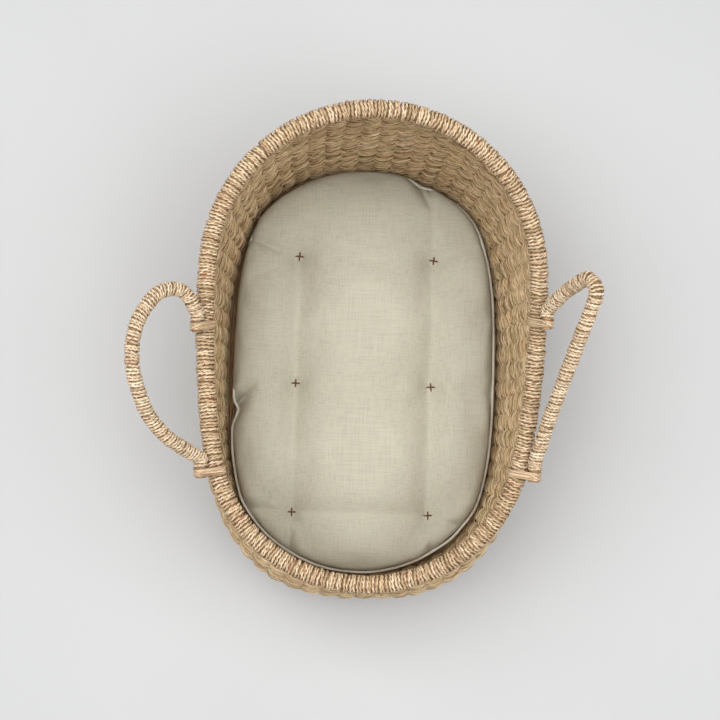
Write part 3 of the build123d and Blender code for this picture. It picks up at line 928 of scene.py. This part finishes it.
def swell(pad):
    """Let the cover swell under pressure, held at its seam and tufts and on its flat face."""
    co = coordinates(pad.data)
    top = co[:, 2] > PAD_SEAM + 0.004
    start = co.copy()
    start[top, 2] -= dent(co[top], TUFT_DEPTH, 0.026)
    write_points(pad.data, start)
    held = pad.vertex_groups.new(name="held")
    near = np.min([np.hypot(co[:, 0] - x, co[:, 1] - y) for x, y in TUFTS], 0) < TUFT_REACH
    seam = (np.abs(co[:, 2] - PAD_SEAM) < SEAM_HEIGHT) & (edge_distance(co) < SEAM_REACH)
    fixed = near | seam | (co[:, 2] < FLAT_BELOW)
    held.add(np.nonzero(fixed)[0].tolist(), 1.0, "REPLACE")
    cloth = pad.modifiers.new("cloth", "CLOTH")
    settings = cloth.settings
    settings.quality = 6
    settings.mass = 0.25
    settings.tension_stiffness = 25
    settings.compression_stiffness = 25
    settings.shear_stiffness = 8
    settings.bending_stiffness = 0.25
    settings.use_pressure = True
    settings.uniform_pressure_force = PRESSURE
    settings.shrink_min = SHRINK
    settings.effector_weights.gravity = 0.0
    settings.vertex_group_mass = "held"
    cloth.point_cache.frame_start = 1
    cloth.point_cache.frame_end = SWELL_FRAMES + 2
    scene = bpy.context.scene
    for number in range(1, SWELL_FRAMES + 1):
        scene.frame_set(number)
    apply_modifiers(pad)
    scene.frame_set(1)
    moved = coordinates(pad.data)
    step = moved - start
    length = np.linalg.norm(step, axis=1, keepdims=True)
    write_points(pad.data, start + step * np.minimum(1, SWELL_CAP / np.maximum(length, 1e-9)))


def crease(co):
    """How far each point sinks into the creases."""
    drop = np.zeros(len(co))
    for start, stop, first, last, half in CREASES:
        a, b = np.array(start), np.array(stop)
        way = b - a
        t = np.clip(((co[:, :2] - a) @ way) / (way @ way), 0, 1)
        away = np.hypot(*(co[:, :2] - a - t[:, None] * way).T)
        depth = first + (last - first) * t
        drop = np.maximum(drop, depth * np.exp(-(away / half) ** 1.35))
    return drop


def mattress():
    """The tufted pad, its folded hem and its cross stitches."""
    pad = pad_start()
    even_mesh(pad)
    swell(pad)
    relax = pad.modifiers.new("relax", "SMOOTH")
    relax.factor, relax.iterations = 0.5, 12
    smooth = pad.modifiers.new("smooth", "SUBSURF")
    smooth.levels = smooth.render_levels = 1
    apply_modifiers(pad)
    co = coordinates(pad.data)
    top = co[:, 2] > PAD_SEAM + 0.002
    co[top, 2] -= (np.maximum(crease(co[top]), dent(co[top], 0.010, 0.017))
                   + dent(co[top], 0.004, 0.0045))
    co[:, 2] = np.clip(co[:, 2], PAD_BOTTOM, PAD_TOP + 0.004)
    beyond = np.maximum(-edge_distance(co) - BULGE, 0)
    co[:, :2] *= (1 - beyond / np.maximum(polar(co)[1], 1e-6))[:, None]
    pad.data.polygons.foreach_set("use_smooth", np.ones(len(pad.data.polygons), bool))
    write_points(pad.data, co)
    pad.data.materials.append(pad_linen)
    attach(pad, "mattress")
    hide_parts("mattress_cover_top", "mattress_cover_bottom", "mattress_filling")
    hem()
    stitches(co)


HEM_POINTS = 420
HEM_OUT, HEM_HIDE = 0.0016, 0.0045          # how far it stands out, and draws in where hidden
HEM_NOTCH = 200             # the left pinch, in degrees round from the right
CROSS_REACH, CROSS_RISE, THREAD_GAP = 0.0062, 0.0012, 0.0006


def hem():
    """The folded edge of the cover at its seam; the swollen side hides it at the head."""
    points = pad_outline(HEM_POINTS)
    angle, distance = polar(points)
    turn = np.degrees(angle) % 360
    hidden = np.clip((turn - 50) / 25, 0, 1) * np.clip((214 - turn) / 25, 0, 1)
    hidden = np.maximum(hidden, np.exp(-((turn - HEM_NOTCH) / 6) ** 2))
    stand = HEM_OUT - HEM_HIDE * hidden + wobble(HEM_POINTS, 50, 0.0005)
    points = points * ((distance + stand) / distance)[:, None]
    line = np.column_stack([points, PAD_SEAM + wobble(HEM_POINTS, 40, 0.0014)])
    strands = Strands(8)
    strands.add(line, UP, 0.0018, 0.0009, closed=True)
    strands.finish("mattress_hem", hem_linen, "linen_piping", "mattress", ["mattress_piping"])


def stitches(co):
    """A cross of doubled thread at each tuft."""
    strands = Strands(6)
    for x, y in TUFTS:
        near = np.hypot(co[:, 0] - x, co[:, 1] - y) < 0.006
        upper = near & (co[:, 2] > PAD_SEAM - 0.005)
        height = co[upper, 2].mean() + CROSS_RISE if upper.any() else PAD_TOP
        turn = rng.uniform(-0.12, 0.12)
        for way in (turn, turn + pi / 2):
            for pair in (-1, 1):
                t = np.linspace(-1, 1, 9)
                reach = CROSS_REACH * rng.uniform(0.9, 1.1)
                across = np.array([-sin(way), cos(way)]) * THREAD_GAP * pair
                flat = np.outer(t * reach, [cos(way), sin(way)]) + across + (x, y)
                over = THREAD_GAP if way != turn else 0.0
                line = np.column_stack([flat, height - 0.0016 * t ** 4 + over])
                strands.add(line, UP, 0.0006, 0.0005)
    strands.finish("tuft_crosses", thread, "tuft_thread", "mattress", ["tuft_stitches"])


# ---- CAD pieces that stay --------------------------------
def keep_cad():
    """The stakes and core bundles keep their CAD shape and get a straw material."""
    for name in ("warp_stakes", "rim_core", "handle_left_core", "handle_right_core"):
        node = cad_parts[name]
        node.data.materials.clear()
        node.data.materials.append(stalks)


# ---- stage -----------------------------------------------
FLOOR_HALF = 24.0
LAMPS = [                   # name, place, what it points at, size, power
    ("window", (-1.3, 0.3, 2.8), (0, 0, 0.1), 2.4, 52),
    ("fill", (1.5, -0.5, 2.3), (-0.1, 0, 0.1), 2.2, 24),
    ("overhead", (0.1, 0.0, 3.2), (0, 0, 0), 3.2, 68),
]
ROOM_COLOUR, ROOM_LIGHT = (1.0, 0.99, 0.98, 1), 0.28
CAMERA_PLACE, LENS, SENSOR = (-0.084, -0.206, 2.198), 78.1, 36
CAMERA_TURNS = ((0.100, "X"), (-0.0365, "Y"), (0.0313, "Z"))     # in radians


def floor_plane():
    """A pale floor that reaches past every view."""
    mesh = bpy.data.meshes.new("floor")
    corners = [(-1, -1), (1, -1), (1, 1), (-1, 1)]
    verts = [(x * FLOOR_HALF, y * FLOOR_HALF, 0) for x, y in corners]
    mesh.from_pydata(verts, [], [(0, 1, 2, 3)])
    floor = placed("floor", mesh)
    material, tree, shader = new_material("paper_floor")
    place = tree.nodes.new("ShaderNodeTexCoord").outputs["Object"]
    cloud = noise(tree, place, (2, 2, 2))
    colour = ramp(tree, cloud, [(0.3, (0.545, 0.550, 0.553)), (0.7, (0.563, 0.568, 0.571))])
    painted(tree, shader, colour, 0.9)
    mesh.materials.append(material)


def lamp(name, place, aim, size, power):
    """A square soft light aimed at a point."""
    data = bpy.data.lights.new(name, "AREA")
    data.size = size
    data.energy = power
    light = placed(name, data)
    light.location = place
    way = Vector(aim) - Vector(place)
    light.rotation_euler = way.to_track_quat("-Z", "Y").to_euler()


def stage():
    """The floor, soft light from a window, an overhead and a fill lamp, and the camera above."""
    floor_plane()
    for settings in LAMPS:
        lamp(*settings)
    world = bpy.data.worlds.new("room")
    world.use_nodes = True
    background = world.node_tree.nodes["Background"]
    background.inputs["Color"].default_value = ROOM_COLOUR
    background.inputs["Strength"].default_value = ROOM_LIGHT
    bpy.context.scene.world = world
    bpy.context.scene.view_settings.view_transform = "Standard"

    data = bpy.data.cameras.new("camera")
    data.lens = LENS
    data.sensor_width = SENSOR
    data.clip_start = 0.05
    camera = placed("camera", data)
    place = Matrix.Translation(CAMERA_PLACE)
    for angle, axis in CAMERA_TURNS:
        place = place @ Matrix.Rotation(angle, 4, axis)
    camera.matrix_world = place
    bpy.context.scene.camera = camera


stage()
rim_wrapping()
wall_weave()
wall_fibres()
base_weave()
edge_twining()
for handle_name, (handle_side, *_) in HANDLES.items():
    foot_root, hinge, hinge_span = handle_wrapping(handle_name)
    lashing(handle_name, "foot", 0.0, foot_root, hinge, handle_side)
    lashing(handle_name, "head", hinge_span, foot_root, hinge, handle_side)
mattress()
keep_cad()

bpy.context.view_layer.update()
